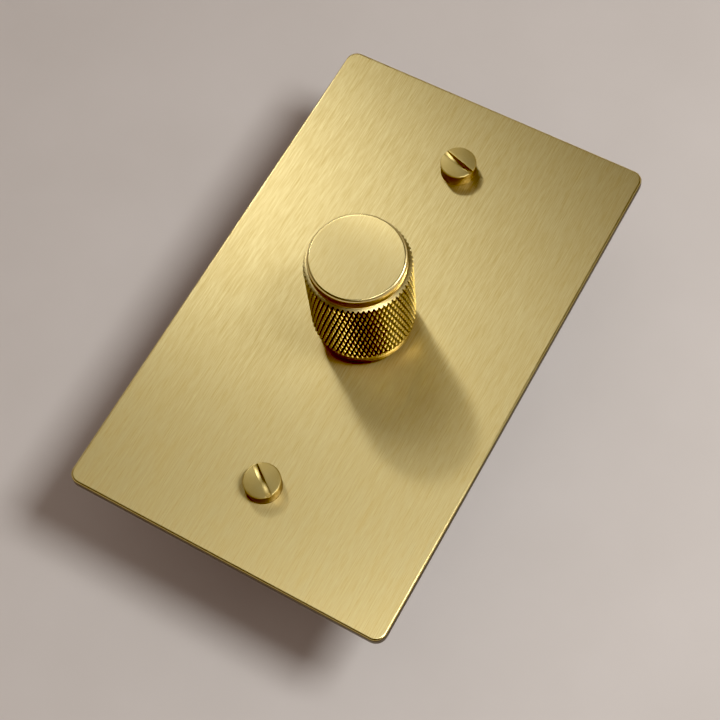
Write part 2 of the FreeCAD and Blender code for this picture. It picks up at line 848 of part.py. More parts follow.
def coil_corner(turn, corner):
    """One corner of the wire's square section, after so many turns of the coil."""
    pitch = (spring_top_z - switch_floor_z - spring_wire) / spring_turns
    out, up = ((-1, -1), (1, -1), (1, 1), (-1, 1))[corner % 4]
    radius = spring_radius + out * spring_wire / 2
    angle = 2 * math.pi * turn
    z = switch_floor_z + spring_wire / 2 + pitch * turn + up * spring_wire / 2
    return vec(radius * math.cos(angle), radius * math.sin(angle), z)


def plunger_spring():
    """Square wire coiled from the base's floor to the end of the plunger's bore."""
    steps = spring_turns * spring_steps_per_turn
    faces = []
    for i in range(steps):
        a = i / spring_steps_per_turn
        b = (i + 1) / spring_steps_per_turn
        for c in range(4):
            faces.append(triangle(coil_corner(a, c), coil_corner(b, c), coil_corner(b, c + 1)))
            faces.append(triangle(coil_corner(a, c), coil_corner(b, c + 1), coil_corner(a, c + 1)))
    for turn in (0, spring_turns):
        ring = [coil_corner(turn, c) for c in range(5)]
        faces.append(Part.Face(Part.makePolygon(ring)))
    return sewn_solid(faces)


# Circuit board and what is soldered to it

def axial_leads(places, pitch):
    leads = []
    for x, y in places:
        leads.append((x, y - pitch / 2))
        leads.append((x, y + pitch / 2))
    return leads


def choke_leads():
    return [(-winding_reach, core_place_y), (winding_reach, core_place_y)]


def capacitor_leads():
    x, y = capacitor_place
    return [(x - capacitor_lead_pitch / 2, y), (x + capacitor_lead_pitch / 2, y)]


def wire_leads():
    leads = axial_leads(resistor_places, resistor_pitch)
    leads += axial_leads([diac_place], diac_pitch)
    leads += axial_leads([fuse_place], fuse_pitch)
    return leads + choke_leads() + capacitor_leads() + contact_places


def corner_notch(x, y, z0, z1):
    """Clears the board round one screw boss: a corner block with its inner edge rounded."""
    radius = boss_radius + board_edge_gap
    inner_x = x - math.copysign(radius, x)
    inner_y = y - math.copysign(radius, y)
    outer_x = math.copysign(housing_width, x)
    outer_y = math.copysign(housing_length, y)
    notch = block(min(inner_x, outer_x), max(inner_x, outer_x),
                  min(inner_y, outer_y), max(inner_y, outer_y), z0, z1)
    inner_edge = []
    for edge in notch.Edges:
        box = edge.BoundBox
        if abs(box.XMax - inner_x) + abs(box.XMin - inner_x) < 1e-6 and box.ZLength > 1:
            if abs(box.YMax - inner_y) < 1e-6:
                inner_edge.append(edge)
    return notch.makeFillet(radius, inner_edge)


def circuit_board():
    board = centred_block(0, 0, board_width, board_length, board_bottom_z, board_top_z)
    low = board_bottom_z - 1
    high = board_top_z + 1
    for x, y in boss_places:
        board = board.cut(corner_notch(x, y, low, high))
    for x, y in wire_leads():
        board = board.cut(lead_hole(x, y, low, high))
    gap = 2 * lead_hole_clearance
    pin_width = pot_terminal_width + gap
    pin_thickness = pot_terminal_thickness + gap
    for x, y in pot_pin_places:
        board = board.cut(centred_block(x, y, pin_width, pin_thickness, low, high))
    side = triac_leg_side + gap
    for i in (-1, 0, 1):
        leg_x = triac_place_x + i * triac_leg_pitch
        board = board.cut(centred_block(leg_x, triac_leg_y, side, side, low, high))
    for x in pole_places:
        board = board.cut(centred_block(x, cage_mid_y, side, side, low, high))
    return board


def insulating_sheet():
    front_y = block_back_y + 2 * notch_clearance
    back_y = boss_y - boss_radius - board_edge_gap
    return block(-board_width / 2, board_width / 2, front_y, back_y,
                 board_bottom_z - sheet_thickness, board_bottom_z)


def choke_core():
    low = board_top_z + core_lift
    ring = tube(core_outer_radius, core_inner_radius, low, low + core_height)
    ring.translate(vec(0, core_place_y, 0))
    return ring


def choke_winding():
    """Turns of enamelled wire round the ring, and a lead at each side down to the board."""
    low = board_top_z + core_lift - winding_gap
    high = board_top_z + core_lift + core_height + winding_gap
    inner = core_inner_radius - winding_gap
    outer = core_outer_radius + winding_gap
    turns = []
    for i in range(winding_turns):
        frame = block(inner - winding_wire, outer + winding_wire, -winding_wire / 2, winding_wire / 2,
                      low - winding_wire, high + winding_wire)
        frame = frame.cut(block(inner, outer, -winding_wire, winding_wire, low, high))
        frame.rotate(vec(0, 0, 0), vec(0, 0, 1), i * 360.0 / winding_turns)
        frame.translate(vec(0, core_place_y, 0))
        turns.append(frame)
    for x, y in choke_leads():
        turns.append(lead_pin(x, y, lead_end_z, low))
    return joined(turns)


def triac():
    x = triac_place_x
    back_z = wall_z - triac_pad_thickness
    half_width = triac_width / 2
    y0 = triac_body_y - triac_body_length / 2
    y1 = triac_body_y + triac_body_length / 2
    body = block(x - half_width, x + half_width, y0, y1, back_z - triac_body_thickness, back_z)
    tab = block(x - half_width, x + half_width, y1, y1 + triac_tab_length,
                back_z - triac_tab_thickness, back_z)
    pieces = [body, tab]
    leg_z = back_z - triac_body_thickness / 2
    half = triac_leg_side / 2
    for i in (-1, 0, 1):
        leg_x = x + i * triac_leg_pitch
        pieces.append(block(leg_x - half, leg_x + half, triac_leg_y - half, y0, leg_z - half, leg_z + half))
        pieces.append(centred_block(leg_x, triac_leg_y, triac_leg_side, triac_leg_side, lead_end_z, leg_z))
    hole = cylinder(triac_hole_radius, back_z - triac_body_thickness, back_z + 1, *triac_hole_place)
    return joined(pieces).cut(hole)


def triac_pad():
    x = triac_place_x
    y0 = triac_body_y - triac_body_length / 2 - triac_pad_margin
    y1 = triac_body_y + triac_body_length / 2 + triac_tab_length + triac_pad_margin
    half_width = triac_width / 2 + triac_pad_margin
    pad = block(x - half_width, x + half_width, y0, y1, wall_z - triac_pad_thickness, wall_z)
    return pad.cut(cylinder(triac_hole_radius, wall_z - 1, wall_z + 1, *triac_hole_place))


def triac_screw():
    seat_z = wall_z - triac_pad_thickness - triac_tab_thickness
    return pan_head_screw(triac_screw_radius, housing_screw_head_radius, housing_screw_head_height,
                          seat_z, plate_back_z - seat_z, triac_hole_place)


def capacitor():
    width, depth, height = capacitor_size
    x, y = capacitor_place
    body = centred_block(x, y, width, depth, board_top_z, board_top_z + height)
    body = body.makeFillet(capacitor_edge_round, edges_at(body, board_top_z + height))
    leads = [lead_pin(a, b, lead_end_z, board_top_z + 1) for a, b in capacitor_leads()]
    return joined([body] + leads)


def axial_part(place, radius, length, pitch):
    """A round body lying along Y, with its two leads bent down into the board."""
    x, y = place
    mid_z = board_top_z + axial_lift + radius
    body = Part.makeCylinder(radius, length, vec(x, y - length / 2, mid_z), vec(0, 1, 0))
    half = lead_side / 2
    wire = centred_block(x, y, lead_side, pitch, mid_z - half, mid_z + half)
    legs = [lead_pin(x, y + side * pitch / 2, lead_end_z, mid_z + half) for side in (-1, 1)]
    return joined([body, wire] + legs)


def resistors():
    return group([axial_part(p, resistor_radius, resistor_length, resistor_pitch) for p in resistor_places])


def diac():
    return axial_part(diac_place, diac_radius, diac_length, diac_pitch)


def thermal_fuse():
    return axial_part(fuse_place, fuse_radius, fuse_length, fuse_pitch)


# Terminal block: one clamp cage and one screw at each pole, wires enter from below

def terminal_block():
    body = block(-block_half_width, block_half_width, block_front_y, block_back_y,
                 block_recess, board_bottom_z)
    cage_width = cage_inner + 2 * cage_wall
    gap = cage_clearance
    for x in pole_places:
        body = body.cut(block(x - cage_width / 2 - gap, x + cage_width / 2 + gap, cage_front_y - gap,
                              cage_front_y + cage_length + gap, cage_bottom_z, board_bottom_z + 1))
        body = body.cut(block(x - entry_size / 2, x + entry_size / 2, block_front_y - 1,
                              block_back_y - block_back_wall, cage_mid_z - cage_inner / 2,
                              cage_mid_z + cage_inner / 2))
        body = body.cut(cylinder(terminal_screw_head_radius + gap, block_recess - 1, cage_bottom_z + gap,
                                 x, cage_mid_y))
    return body


def terminal_cages():
    cages = []
    width = cage_inner + 2 * cage_wall
    end_y = cage_front_y + cage_length
    for x in pole_places:
        cage = block(x - width / 2, x + width / 2, cage_front_y, end_y, cage_bottom_z, cage_top_z)
        cage = cage.cut(block(x - cage_inner / 2, x + cage_inner / 2, cage_front_y - 1, end_y + 1,
                              cage_mid_z - cage_inner / 2, cage_mid_z + cage_inner / 2))
        pin = centred_block(x, cage_mid_y, triac_leg_side, triac_leg_side, cage_top_z - cage_wall / 2,
                            board_top_z + cage_wall)
        cage = joined([cage, pin])
        cages.append(cage.cut(cylinder(terminal_screw_radius + thread_gap, cage_bottom_z - 1,
                                       cage_mid_z, x, cage_mid_y)))
    return group(cages)


def terminal_screws():
    screws = []
    tip_z = cage_bottom_z + cage_screw_wall
    for x in pole_places:
        head = cylinder(terminal_screw_head_radius, terminal_head_bottom_z, terminal_head_top_z,
                        x, cage_mid_y)
        slot = centred_block(x, cage_mid_y, 3 * terminal_screw_head_radius, terminal_slot_width,
                             terminal_head_bottom_z - 1, terminal_head_bottom_z + terminal_slot_depth)
        shank = cylinder(terminal_screw_radius, terminal_head_top_z, tip_z, x, cage_mid_y)
        screws.append(joined([head.cut(slot), shank]))
    return group(screws)


pieces = (
    face_plate, fixing_screws, wall_gasket, mounting_strap, earth_screw, earth_washer,
    rear_housing, housing_screws, control_bush, lock_washer, bush_nut,
    knob, knob_insert, shaft, shaft_clip,
    pot_case, track_board, resistive_track, track_terminals, rotor, wiper,
    switch_case, switch_base, fixed_contacts, plunger, contact_bridge, plunger_spring,
    circuit_board, insulating_sheet, choke_core, choke_winding, triac, triac_pad, triac_screw,
    capacitor, resistors, diac, thermal_fuse,
    terminal_block, terminal_cages, terminal_screws,
)

os.makedirs("parts", exist_ok=True)
for piece in pieces:
    piece().exportStep("parts/" + piece.__name__ + ".step")
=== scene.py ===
import bpy
import math
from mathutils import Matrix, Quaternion, Vector


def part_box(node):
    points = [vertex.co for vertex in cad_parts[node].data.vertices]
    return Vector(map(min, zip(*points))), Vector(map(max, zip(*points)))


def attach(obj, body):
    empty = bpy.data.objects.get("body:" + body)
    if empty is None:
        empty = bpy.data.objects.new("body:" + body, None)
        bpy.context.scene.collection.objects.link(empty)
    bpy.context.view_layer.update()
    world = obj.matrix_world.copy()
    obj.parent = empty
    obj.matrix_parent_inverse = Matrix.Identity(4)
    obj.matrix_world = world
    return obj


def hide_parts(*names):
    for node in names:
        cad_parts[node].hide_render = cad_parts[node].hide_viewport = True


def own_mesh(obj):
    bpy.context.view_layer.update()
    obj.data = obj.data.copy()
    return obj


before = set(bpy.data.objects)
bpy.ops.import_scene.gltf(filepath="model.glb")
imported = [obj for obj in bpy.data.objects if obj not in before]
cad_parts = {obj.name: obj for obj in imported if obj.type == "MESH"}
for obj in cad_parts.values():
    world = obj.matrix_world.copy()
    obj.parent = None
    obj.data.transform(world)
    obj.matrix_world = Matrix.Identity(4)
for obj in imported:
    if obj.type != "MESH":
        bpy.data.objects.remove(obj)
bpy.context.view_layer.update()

# Rotary dimmer switch lying on its back. Metres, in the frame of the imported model; MM turns
# millimetres into metres. +X right, +Y up the plate, +Z out of the face.

MM = 0.001


# Colours and shader nodes

def linear(code):
    """A web colour as linear red, green, blue and alpha."""
    parts = [int(code[k:k + 2], 16) / 255 for k in (0, 2, 4)]
    return [p / 12.92 if p <= 0.04045 else ((p + 0.055) / 1.055) ** 2.4 for p in parts] + [1.0]


def add_node(tree, kind, settings=None, links=None):
    """Adds a node, sets its options and socket values, and links what feeds it."""
    node = tree.nodes.new("ShaderNode" + kind)
    for name, value in (settings or {}).items():
        if isinstance(name, int) or name in node.inputs:
            node.inputs[name].default_value = value
        else:
            setattr(node, name, value)
    for name, source in (links or {}).items():
        tree.links.new(source, node.inputs[name])
    return node


def per_mm(x, y, z):
    """Pattern steps per metre for a grain that is x, y and z millimetres long."""
    return 1 / (x * MM), 1 / (y * MM), 1 / (z * MM)


def finish_material(name, tree_steps):
    """Makes a material and lets tree_steps lay out what feeds its surface shader."""
    material = bpy.data.materials.new(name)
    material.use_nodes = True
    tree = material.node_tree
    tree.nodes.clear()
    settings, links = tree_steps(tree)
    surface = add_node(tree, "BsdfPrincipled", settings, links)
    add_node(tree, "OutputMaterial", {}, {"Surface": surface.outputs["BSDF"]})
    return material


# Brass finishes. Cartridge brass reflects a greenish gold, and each way of working it leaves
# its own fine lines, across which the shine spreads. Walls, cut sides and knurl grooves are darkened
# with painted shade; on the walls and in the grooves it lies over some real film where no hand rubs.

BRASS_BRIGHT = "f2e2a9"
BRASS_MID = "d8be7c"
# Colour of the cut sides: painted shade over a duller cut finish
BRASS_DULL_CUT_AND_SHADE = "62604a"
BRASS_WORN = "ceb46f"
BRASS_WORN_HIGH = "e8d697"
# Screw-head walls: painted shade over a brown film
BRASS_FILM_AND_WALL_SHADE = "948158"
# Knurl grooves: painted shade over a little real film
BRASS_FILM_AND_GROOVE_SHADE = "2b200f"


def brushed_brass(name, width_mm, length_mm, spread, relief_share):
    """Sheet drawn along Y by an abrasive belt, then lacquered: parallel scratches, short and long,
    which stretch every highlight across them.

    Real scratches are a few hundredths of a millimetre wide, too fine to show, so they are drawn
    coarser. Polishing smoothed the upper part of the rounded rim, and the cut side under it is
    duller; its darker colour is painted shade over that duller cut.
    """
    def steps(tree):
        spot = add_node(tree, "TexCoord")
        grains = []
        for grain in ((width_mm, length_mm, width_mm), (2 * width_mm, 3 * length_mm, width_mm)):
            along = add_node(tree, "Mapping", {"Scale": per_mm(*grain)},
                             {"Vector": spot.outputs["Object"]})
            grains.append(add_node(tree, "TexNoise", {"Scale": 1.0, "Detail": 2.0, "Roughness": 0.6},
                                   {"Vector": along.outputs["Vector"]}))
        both = add_node(tree, "Mix", {0: 0.33},
                        {2: grains[0].outputs["Fac"], 3: grains[1].outputs["Fac"]})
        tone = add_node(tree, "MapRange", {"From Min": 0.5 - spread, "From Max": 0.5 + spread},
                        {"Value": both.outputs[0]})
        scratched = add_node(tree, "Mix",
                             {"data_type": "RGBA", 6: linear(BRASS_MID), 7: linear(BRASS_BRIGHT)},
                             {0: tone.outputs["Result"]})
        gloss = add_node(tree, "MapRange", {"To Min": 0.44, "To Max": 0.36},
                         {"Value": tone.outputs["Result"]})
        upward = add_node(tree, "SeparateXYZ", {}, {"Vector": spot.outputs["Normal"]})
        face = add_node(tree, "MapRange", {"From Min": 0.45, "From Max": 0.75},
                        {"Value": upward.outputs["Z"]})
        # Sides turned away from the top take the cut colour: painted shade over the duller cut
        colour = add_node(tree, "Mix", {"data_type": "RGBA", 6: linear(BRASS_DULL_CUT_AND_SHADE)},
                          {0: face.outputs["Result"], 7: scratched.outputs[2]})
        flat = add_node(tree, "MapRange", {"From Min": 0.985, "From Max": 0.999},
                        {"Value": upward.outputs["Z"]})
        rim = add_node(tree, "Mix", {2: 0.28}, {0: flat.outputs["Result"], 3: gloss.outputs["Result"]})
        dullness = add_node(tree, "Mix", {2: 0.45}, {0: face.outputs["Result"], 3: rim.outputs[0]})
        relief = add_node(tree, "Bump", {"Strength": relief_share, "Distance": 0.03 * MM},
                          {"Height": both.outputs[0]})
        across = add_node(tree, "VectorTransform",
                          {"vector_type": "VECTOR", "convert_from": "OBJECT", "convert_to": "WORLD",
                           "Vector": (1.0, 0.0, 0.0)})
        settings = {"Metallic": 1.0, "Anisotropic": 0.72}
        links = {"Base Color": colour.outputs[2], "Roughness": dullness.outputs[0],
                 "Normal": relief.outputs["Normal"], "Tangent": across.outputs["Vector"]}
        return settings, links
    return finish_material(name, steps)


def turned_brass(name, pitch_mm, rough_low, rough_high, side, low=BRASS_MID, high=BRASS_BRIGHT):
    """Bar turned on a lathe: rings at the pitch of the tool's feed, dull where the feed dug in.

    Walls take a darker side colour: painted shade over a brown film that handling wears off the faces
    and rims.
    """
    def steps(tree):
        spot = add_node(tree, "TexCoord")
        parts = add_node(tree, "SeparateXYZ", {}, {"Vector": spot.outputs["Object"]})
        flat = add_node(tree, "CombineXYZ", {}, {"X": parts.outputs["X"], "Y": parts.outputs["Y"]})
        out = add_node(tree, "VectorMath", {"operation": "LENGTH"}, {0: flat.outputs["Vector"]})
        profile = add_node(tree, "CombineXYZ", {}, {"X": out.outputs["Value"], "Z": parts.outputs["Z"]})
        fed = add_node(tree, "Mapping", {"Scale": per_mm(pitch_mm, pitch_mm, pitch_mm)},
                       {"Vector": profile.outputs["Vector"]})
        rings = add_node(tree, "TexNoise", {"Scale": 1.0, "Detail": 2.0},
                         {"Vector": fed.outputs["Vector"]})
        cloud = add_node(tree, "TexNoise", {"Scale": 1 / (4 * MM), "Detail": 3.0},
                         {"Vector": spot.outputs["Object"]})
        both = add_node(tree, "Mix", {0: 0.4}, {2: rings.outputs["Fac"], 3: cloud.outputs["Fac"]})
        tone = add_node(tree, "MapRange", {"From Min": 0.3, "From Max": 0.7}, {"Value": both.outputs[0]})
        worn = add_node(tree, "Mix", {"data_type": "RGBA", 6: linear(low), 7: linear(high)},
                        {0: tone.outputs["Result"]})
        upward = add_node(tree, "SeparateXYZ", {}, {"Vector": spot.outputs["Normal"]})
        face = add_node(tree, "MapRange", {"From Min": 0.05, "From Max": 0.3},
                        {"Value": upward.outputs["Z"]})
        # Walls take the side colour: painted shade, with some brown film
        colour = add_node(tree, "Mix", {"data_type": "RGBA", 6: linear(side)},
                          {0: face.outputs["Result"], 7: worn.outputs[2]})
        gloss = add_node(tree, "MapRange", {"To Min": rough_high, "To Max": rough_low},
                         {"Value": tone.outputs["Result"]})
        relief = add_node(tree, "Bump", {"Strength": 0.2, "Distance": 0.02 * MM},
                          {"Height": rings.outputs["Fac"]})
        settings = {"Metallic": 1.0}
        links = {"Base Color": colour.outputs[2], "Roughness": gloss.outputs["Result"],
                 "Normal": relief.outputs["Normal"]}
        return settings, links
    return finish_material(name, steps)


def knurled_brass(name, valley_radius, peak_radius):
    """Rolled diamonds: handling polishes the points, and the grooves darken with depth: painted shade
    over a little film.
    """
    def steps(tree):
        spot = add_node(tree, "TexCoord")
        parts = add_node(tree, "SeparateXYZ", {}, {"Vector": spot.outputs["Object"]})
        flat = add_node(tree, "CombineXYZ", {}, {"X": parts.outputs["X"], "Y": parts.outputs["Y"]})
        out = add_node(tree, "VectorMath", {"operation": "LENGTH"}, {0: flat.outputs["Vector"]})
        depth = peak_radius - valley_radius
        height = add_node(tree, "MapRange", {"From Min": valley_radius + 0.2 * depth,
                                             "From Max": valley_radius + 0.62 * depth},
                          {"Value": out.outputs["Value"]})
        # The colour darkens towards the groove floors: painted shade, with a little real film
        colour = add_node(tree, "Mix",
                          {"data_type": "RGBA", 6: linear(BRASS_FILM_AND_GROOVE_SHADE), 7: linear(BRASS_BRIGHT)},
                          {0: height.outputs["Result"]})
        grain = add_node(tree, "TexNoise", {"Scale": 1 / (0.2 * MM), "Detail": 3.0},
                         {"Vector": spot.outputs["Object"]})
        gloss = add_node(tree, "MapRange", {"To Min": 0.2, "To Max": 0.34},
                         {"Value": grain.outputs["Fac"]})
        relief = add_node(tree, "Bump", {"Strength": 0.2, "Distance": 0.01 * MM},
                          {"Height": grain.outputs["Fac"]})
        settings = {"Metallic": 1.0}
        links = {"Base Color": colour.outputs[2], "Roughness": gloss.outputs["Result"],
                 "Normal": relief.outputs["Normal"]}
        return settings, links
    return finish_material(name, steps)


# Finishes of the pieces behind the plate

def worked_metal(name, low, high, rough_low, rough_high, grain_mm, relief_mm, metallic=1.0):
    """Rolled, plated or drawn metal: soft clouds of tone and a fine grain along its drawn direction."""
    def steps(tree):
        spot = add_node(tree, "TexCoord")
        drawn = add_node(tree, "Mapping", {"Scale": per_mm(*grain_mm)},
                         {"Vector": spot.outputs["Object"]})
        grain = add_node(tree, "TexNoise", {"Scale": 1.0, "Detail": 3.0},
                         {"Vector": drawn.outputs["Vector"]})
        cloud = add_node(tree, "TexNoise", {"Scale": 1 / (6 * MM), "Detail": 2.0},
                         {"Vector": spot.outputs["Object"]})
        both = add_node(tree, "Mix", {0: 0.5}, {2: grain.outputs["Fac"], 3: cloud.outputs["Fac"]})
        tone = add_node(tree, "MapRange", {"From Min": 0.35, "From Max": 0.65},
                        {"Value": both.outputs[0]})
        colour = add_node(tree, "Mix", {"data_type": "RGBA", 6: linear(low), 7: linear(high)},
                          {0: tone.outputs["Result"]})
        gloss = add_node(tree, "MapRange", {"To Min": rough_high, "To Max": rough_low},
                         {"Value": tone.outputs["Result"]})
        relief = add_node(tree, "Bump", {"Strength": 0.3, "Distance": relief_mm * MM},
                          {"Height": grain.outputs["Fac"]})
        settings = {"Metallic": metallic}
        links = {"Base Color": colour.outputs[2], "Roughness": gloss.outputs["Result"],
                 "Normal": relief.outputs["Normal"]}
        return settings, links
    return finish_material(name, steps)


def moulded_plastic(name, low, high, rough, grain_mm, relief_mm, ior=1.5, coat=0.0):
    """Plastic from a mould with a spark-eroded skin: a fine even grain and barely uneven colour."""
    def steps(tree):
        spot = add_node(tree, "TexCoord")
        skin = add_node(tree, "TexNoise", {"Scale": 1 / (grain_mm * MM), "Detail": 2.0},
                        {"Vector": spot.outputs["Object"]})
        flow = add_node(tree, "TexNoise", {"Scale": 1 / (9 * MM), "Detail": 3.0},
                        {"Vector": spot.outputs["Object"]})
        tone = add_node(tree, "MapRange", {"From Min": 0.3, "From Max": 0.7},
                        {"Value": flow.outputs["Fac"]})
        colour = add_node(tree, "Mix", {"data_type": "RGBA", 6: linear(low), 7: linear(high)},
                          {0: tone.outputs["Result"]})
        gloss = add_node(tree, "MapRange", {"To Min": rough - 0.06, "To Max": rough + 0.06},
                         {"Value": skin.outputs["Fac"]})
        relief = add_node(tree, "Bump", {"Strength": 0.4, "Distance": relief_mm * MM},
                          {"Height": skin.outputs["Fac"]})
        settings = {"IOR": ior, "Coat Weight": coat, "Coat Roughness": 0.12}
        links = {"Base Color": colour.outputs[2], "Roughness": gloss.outputs["Result"],
                 "Normal": relief.outputs["Normal"]}
        return settings, links
    return finish_material(name, steps)


def foam_rubber(name, low, high):
    """Closed-cell rubber foam, split from a block: the cut face is full of small open cells."""
    def steps(tree):
        spot = add_node(tree, "TexCoord")
        cells = add_node(tree, "TexVoronoi", {"Scale": 1 / (0.35 * MM)},
                         {"Vector": spot.outputs["Object"]})
        colour = add_node(tree, "Mix", {"data_type": "RGBA", 6: linear(low), 7: linear(high)},
                          {0: cells.outputs["Distance"]})
        relief = add_node(tree, "Bump", {"Strength": 0.7, "Distance": 0.08 * MM},
                          {"Height": cells.outputs["Distance"]})
        settings = {"Roughness": 0.85, "IOR": 1.52}
        links = {"Base Color": colour.outputs[2], "Normal": relief.outputs["Normal"]}
        return settings, links
    return finish_material(name, steps)


def woven_laminate(name, low, high, thread_mm, rough, coat):
    """Glass cloth or paper set in resin: the weave prints faintly through the face."""
    def steps(tree):
        spot = add_node(tree, "TexCoord")
        warp = add_node(tree, "TexWave", {"bands_direction": "X", "Scale": 0.05 / (thread_mm * MM),
                                          "Distortion": 0.6}, {"Vector": spot.outputs["Object"]})
        weft = add_node(tree, "TexWave", {"bands_direction": "Y", "Scale": 0.05 / (thread_mm * MM),
                                          "Distortion": 0.6}, {"Vector": spot.outputs["Object"]})
        cloth = add_node(tree, "Math", {"operation": "MULTIPLY"},
                         {0: warp.outputs["Fac"], 1: weft.outputs["Fac"]})
        colour = add_node(tree, "Mix", {"data_type": "RGBA", 6: linear(low), 7: linear(high)},
                          {0: cloth.outputs["Value"]})
        relief = add_node(tree, "Bump", {"Strength": 0.2, "Distance": 0.02 * MM},
                          {"Height": cloth.outputs["Value"]})
        settings = {"Roughness": rough, "IOR": 1.54, "Coat Weight": coat, "Coat Roughness": 0.15}
        links = {"Base Color": colour.outputs[2], "Normal": relief.outputs["Normal"]}
        return settings, links
    return finish_material(name, steps)


# Meshes

def new_piece(name, points, faces, finishes, place=(0.0, 0.0, 0.0)):
    """A mesh object from points in metres and faces given as (corners, number of the finish)."""
    mesh = bpy.data.meshes.new(name)
    mesh.from_pydata(points, [], [corners for corners, _ in faces])
    for finish in finishes:
        mesh.materials.append(finish)
    mesh.polygons.foreach_set("material_index", [finish for _, finish in faces])
    mesh.polygons.foreach_set("use_smooth", [True] * len(faces))
    mesh.set_sharp_from_angle(angle=math.radians(32))
    piece = bpy.data.objects.new(name, mesh)
    piece.location = place
    bpy.context.scene.collection.objects.link(piece)
    return piece


def ring(points, radius, z, angles):
    """Adds a level ring of points in millimetres and returns their numbers."""
    first = len(points)
    for angle in angles:
        points.append((radius * math.cos(angle) * MM, radius * math.sin(angle) * MM, z * MM))
    return list(range(first, len(points)))


def skin(faces, lower, upper, finish):
    """Joins two rings, seen from outside with upper above lower."""
    count = len(lower)
    for i in range(count):
        j = (i + 1) % count
        faces.append(((lower[i], lower[j], upper[j], upper[i]), finish))


def even_angles(count):
    return [2 * math.pi * i / count for i in range(count)]


def rounded_edge(radius, z, round_mm, steps=6):
    """Ring sizes over a rounded rim, from the wall up to the flat."""
    turns = [math.pi / 2 * i / steps for i in range(steps + 1)]
    return [(radius - round_mm * (1 - math.cos(t)), z - round_mm * (1 - math.sin(t))) for t in turns]


def turned_shell(points, faces, profile, angles, finish):
    """Revolves a profile of (radius, height), listed anticlockwise round its section."""
    rings = [ring(points, r, z, angles) for r, z in profile]
    for lower, upper in zip(rings, rings[1:]):
        skin(faces, lower, upper, finish)
    return rings


# Knob sizes in millimetres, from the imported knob

knob_low, knob_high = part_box("knob")
KNOB_BOTTOM = knob_low.z / MM
KNOB_TOP = knob_high.z / MM
KNURL_PEAK = knob_high.x / MM
KNURL_VALLEY = KNURL_PEAK - 0.34
KNURL_COUNT = 66
KNURL_ROWS = 12
KNURL_BOTTOM = KNOB_BOTTOM + 2.9
KNURL_TOP = KNOB_TOP - 2.75
RING_RADIUS = KNURL_PEAK - 0.6
CAP_RADIUS = KNURL_PEAK - 0.95
CAP_ROUND = 0.6
LEDGE_SLOPE = 0.3
RELIEF_DEPTH = 0.14
RELIEF_WIDTH = 0.2
RELIEF_RUN_OUT = 0.1
RING_CHAMFER = 0.25
GROOVE_HEIGHT = 0.55
GROOVE_DEPTH = 0.2
GROOVE_WIDTH = 0.3
RECESS_RADIUS = KNURL_PEAK - 2.166
insert_low, insert_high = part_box("knob_insert")
BORE_CLEARANCE = 0.02
BORE_RADIUS = insert_high.x / MM + BORE_CLEARANCE
BORE_BOTTOM = insert_low.z / MM
BORE_TOP = insert_high.z / MM

# Share of a diamond's half width taken by its worn point and by its foot
POINT_SHARE = 0.38
FOOT_SHARE = 0.85


def knurl_faces(points, faces, finish):
    """Truncated diamonds with narrow grooves between them. Returns the lowest and the highest rim."""
    row = (KNURL_TOP - KNURL_BOTTOM) / KNURL_ROWS
    found = {}

    def spot(step, level, radius):
        key = (round(step * 1000) % (KNURL_COUNT * 1000), round(level * 1000))
        if key not in found:
            angle = 2 * math.pi * step / KNURL_COUNT
            found[key] = len(points)
            points.append((radius * math.cos(angle) * MM, radius * math.sin(angle) * MM,
                           (KNURL_BOTTOM + level * row) * MM))
        return found[key]

    for level in range(KNURL_ROWS + 1):
        ways = [(0.5, 0), (0, 1), (-0.5, 0), (0, -1)]
        for i in range(KNURL_COUNT):
            step = i + 0.5 * ((level + 1) % 2)
            middle = spot(step, level, KNURL_PEAK)
            for a, b in zip(ways, ways[1:] + ways[:1]):
                if not 0 <= level + a[1] + b[1] <= KNURL_ROWS:
                    continue
                tip_a, tip_b = [spot(step + w[0] * POINT_SHARE, level + w[1] * POINT_SHARE, KNURL_PEAK)
                                for w in (a, b)]
                foot_a, foot_b = [spot(step + w[0] * FOOT_SHARE, level + w[1] * FOOT_SHARE, KNURL_VALLEY)
                                  for w in (a, b)]
                end_a, end_b = [spot(step + w[0], level + w[1], KNURL_VALLEY) for w in (a, b)]
                faces.append(((middle, tip_a, tip_b), finish))
                faces.append(((tip_a, foot_a, foot_b, tip_b), finish))
                faces.append(((foot_a, end_a, end_b, foot_b), finish))
    rims = []
    for level in (0, KNURL_ROWS):
        rim = []
        for i in range(KNURL_COUNT):
            for share in (-1, -FOOT_SHARE, -POINT_SHARE, 0, POINT_SHARE, FOOT_SHARE):
                rim.append(spot(i + 0.5 + share * 0.5, level, KNURL_PEAK))
        rims.append(rim)
    return rims


